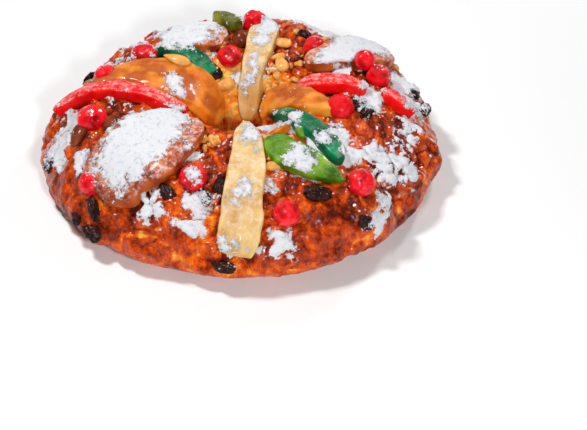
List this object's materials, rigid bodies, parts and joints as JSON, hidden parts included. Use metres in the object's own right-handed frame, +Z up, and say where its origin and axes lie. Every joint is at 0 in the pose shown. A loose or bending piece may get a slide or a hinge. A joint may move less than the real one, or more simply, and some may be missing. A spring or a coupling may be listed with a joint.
{
  "type": "roscon de reyes",
  "caption": "Round festive sweet bread ring with a small central hole, baked with raisins and nuts, topped with candied fruit strips, cherries and powder sugar.",
  "frame": {"origin": "on the table, under the middle of the cake's bounding box; the middle of the hole is within 2 mm of it", "axes": "+Z up; -Y is the front, the side with the long pale candied strip that runs down over the belly; +X is to the right seen from the front"},
  "size_m": [0.2861, 0.2723, 0.0735],
  "materials": {
    "baked_crust": "glazed golden to deep brown crust, semi-gloss",
    "cherry": "glossy, translucent bright red",
    "red_strip": "translucent red candied fruit, glossy",
    "green_strip": "translucent dark green candied fruit, glossy",
    "light_slab": "translucent light green candied fruit, sugared on top",
    "olive_lump": "translucent olive green candied fruit, glossy",
    "pale_strip": "translucent pale yellow candied fruit, satin",
    "orange_slice": "translucent orange candied fruit, glossy",
    "amber_slab": "amber candied fruit under powder sugar",
    "nut_cream": "pale roasted nut, satin",
    "nut_skin": "brown nut skin, matte",
    "raisin": "wrinkled black-brown, satin"
  },
  "bodies": {
    "root": {"almond_1": "nut_cream", "almond_2": "nut_cream", "almond_3": "nut_cream", "almond_4": "nut_cream", "almond_5": "nut_cream", "almond_skin_1": "nut_skin", "almond_skin_2": "nut_skin", "amber_slab_left": "amber_slab", "amber_slab_rear": "amber_slab", "amber_slab_right": "amber_slab", "cherry_01": "cherry", "cherry_02": "cherry", "cherry_03": "cherry", "cherry_04": "cherry", "cherry_05": "cherry", "cherry_06": "cherry", "cherry_07": "cherry", "cherry_08": "cherry", "cherry_09": "cherry", "cherry_10": "cherry", "cherry_11": "cherry", "cherry_12": "cherry", "cherry_13": "cherry", "cherry_14": "cherry", "cherry_15": "cherry", "green_strip_front": "green_strip", "green_strip_rear": "green_strip", "hazelnut": "nut_skin", "light_slab_front": "light_slab", "olive_lump_rear": "olive_lump", "orange_slice_left": "orange_slice", "orange_slice_right": "orange_slice", "pale_strip_back": "pale_strip", "pale_strip_front": "pale_strip", "raisin_01": "raisin", "raisin_02": "raisin", "raisin_03": "raisin", "raisin_04": "raisin", "raisin_05": "raisin", "raisin_06": "raisin", "raisin_07": "raisin", "raisin_08": "raisin", "raisin_09": "raisin", "raisin_10": "raisin", "raisin_11": "raisin", "raisin_12": "raisin", "raisin_13": "raisin", "raisin_14": "raisin", "raisin_15": "raisin", "raisin_16": "raisin", "raisin_17": "raisin", "raisin_18": "raisin", "raisin_19": "raisin", "red_strip_back": "red_strip", "red_strip_left": "red_strip", "red_strip_right": "red_strip", "ring_loaf": "baked_crust"}
  },
  "joints": []
}
